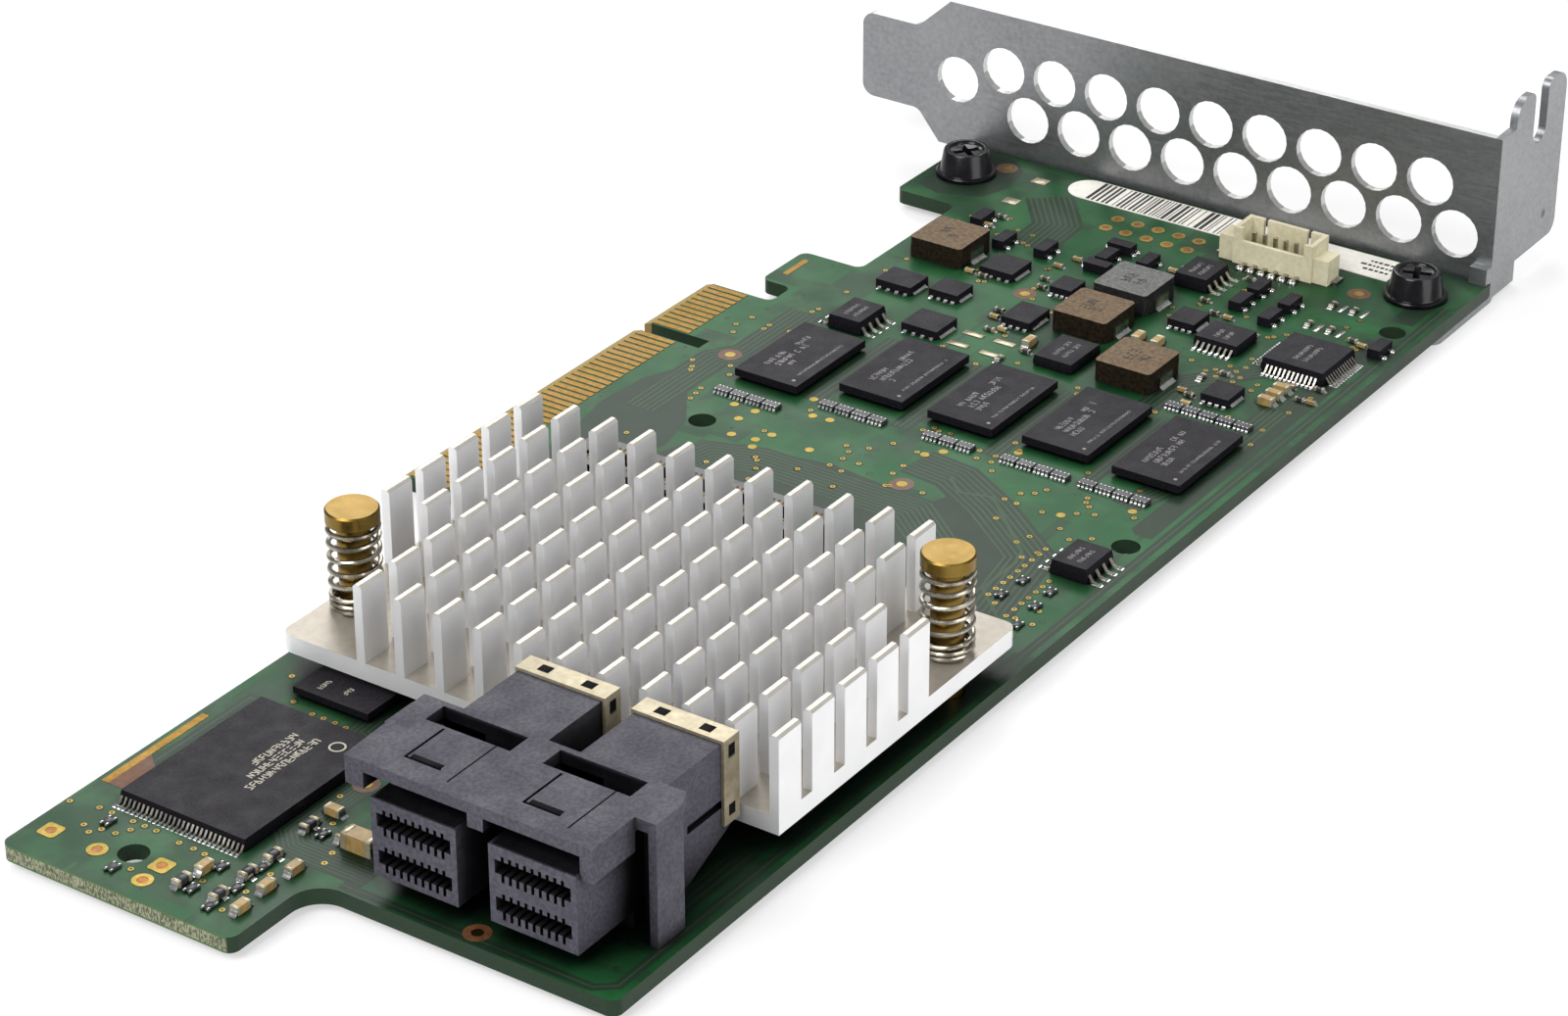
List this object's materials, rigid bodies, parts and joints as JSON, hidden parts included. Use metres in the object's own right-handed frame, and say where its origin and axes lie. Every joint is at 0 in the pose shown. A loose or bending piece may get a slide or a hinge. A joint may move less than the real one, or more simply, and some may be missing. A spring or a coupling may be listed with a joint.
{
  "type": "raid controller card",
  "caption": "Low-profile plug-in circuit card with an edge connector, a finned heat sink, a twin drive connector and a slotted bracket full of round vents.",
  "frame": {"origin": "edge connector datum: on the key's centre line, at the finger tips, on the component face of the board", "axes": "+X along the card towards the slot bracket, +Y the way the fingers go into the slot, +Z off the component side"},
  "size_m": [0.182, 0.0794, 0.0217],
  "materials": {
    "bare_aluminium": "satin",
    "beige_ceramic": "satin",
    "black_steel": "satin",
    "board_green": "satin",
    "brass": "satin",
    "brown_ferrite": "matte",
    "cream_plastic": "matte",
    "gold": "polished",
    "grey_plastic": "matte",
    "label_paper": "matte",
    "mould_compound": "matte",
    "plated_sheet": "satin",
    "spring_steel": "polished",
    "thermal_pad": "matte",
    "tin": "satin",
    "zinc_sheet": "satin"
  },
  "bodies": {
    "root": {"bracket_screws": "black_steel", "ceramic_capacitors": "beige_ceramic", "chip_resistors": "mould_compound", "circuit_board": "board_green", "controller_package": "mould_compound", "driver_chip": "mould_compound", "driver_chip_leads": "tin", "edge_contacts_component_side": "gold", "edge_contacts_solder_side": "gold", "eight_lead_chip_low": "mould_compound", "eight_lead_chip_low_leads": "tin", "eight_lead_chip_mid": "mould_compound", "eight_lead_chip_mid_leads": "tin", "eight_lead_chip_top": "mould_compound", "eight_lead_chip_top_leads": "tin", "flash_chip": "mould_compound", "flash_chip_leads": "tin", "header_anchors": "tin", "header_contacts": "tin", "header_housing": "cream_plastic", "heat_sink": "bare_aluminium", "heat_sink_pins": "brass", "inductor_terminals": "tin", "large_capacitor": "beige_ceramic", "leadless_power_packages": "mould_compound", "logic_chip": "mould_compound", "memory_chip_1": "mould_compound", "memory_chip_2": "mould_compound", "memory_chip_3": "mould_compound", "memory_chip_4": "mould_compound", "memory_chip_5": "mould_compound", "paper_label": "label_paper", "pin_springs": "spring_steel", "power_diode": "mould_compound", "power_inductor_1": "brown_ferrite", "power_inductor_2": "brown_ferrite", "power_inductor_3": "brown_ferrite", "power_inductor_4": "brown_ferrite", "quad_chip": "mould_compound", "quad_chip_leads": "tin", "resistor_arrays": "mould_compound", "sas_clip_a": "plated_sheet", "sas_clip_b": "plated_sheet", "sas_cover": "grey_plastic", "sas_plug_block_a": "grey_plastic", "sas_plug_block_b": "grey_plastic", "slot_bracket": "zinc_sheet", "small_transistors": "mould_compound", "stacking_connector": "mould_compound", "thermal_pad": "thermal_pad"}
  },
  "joints": []
}
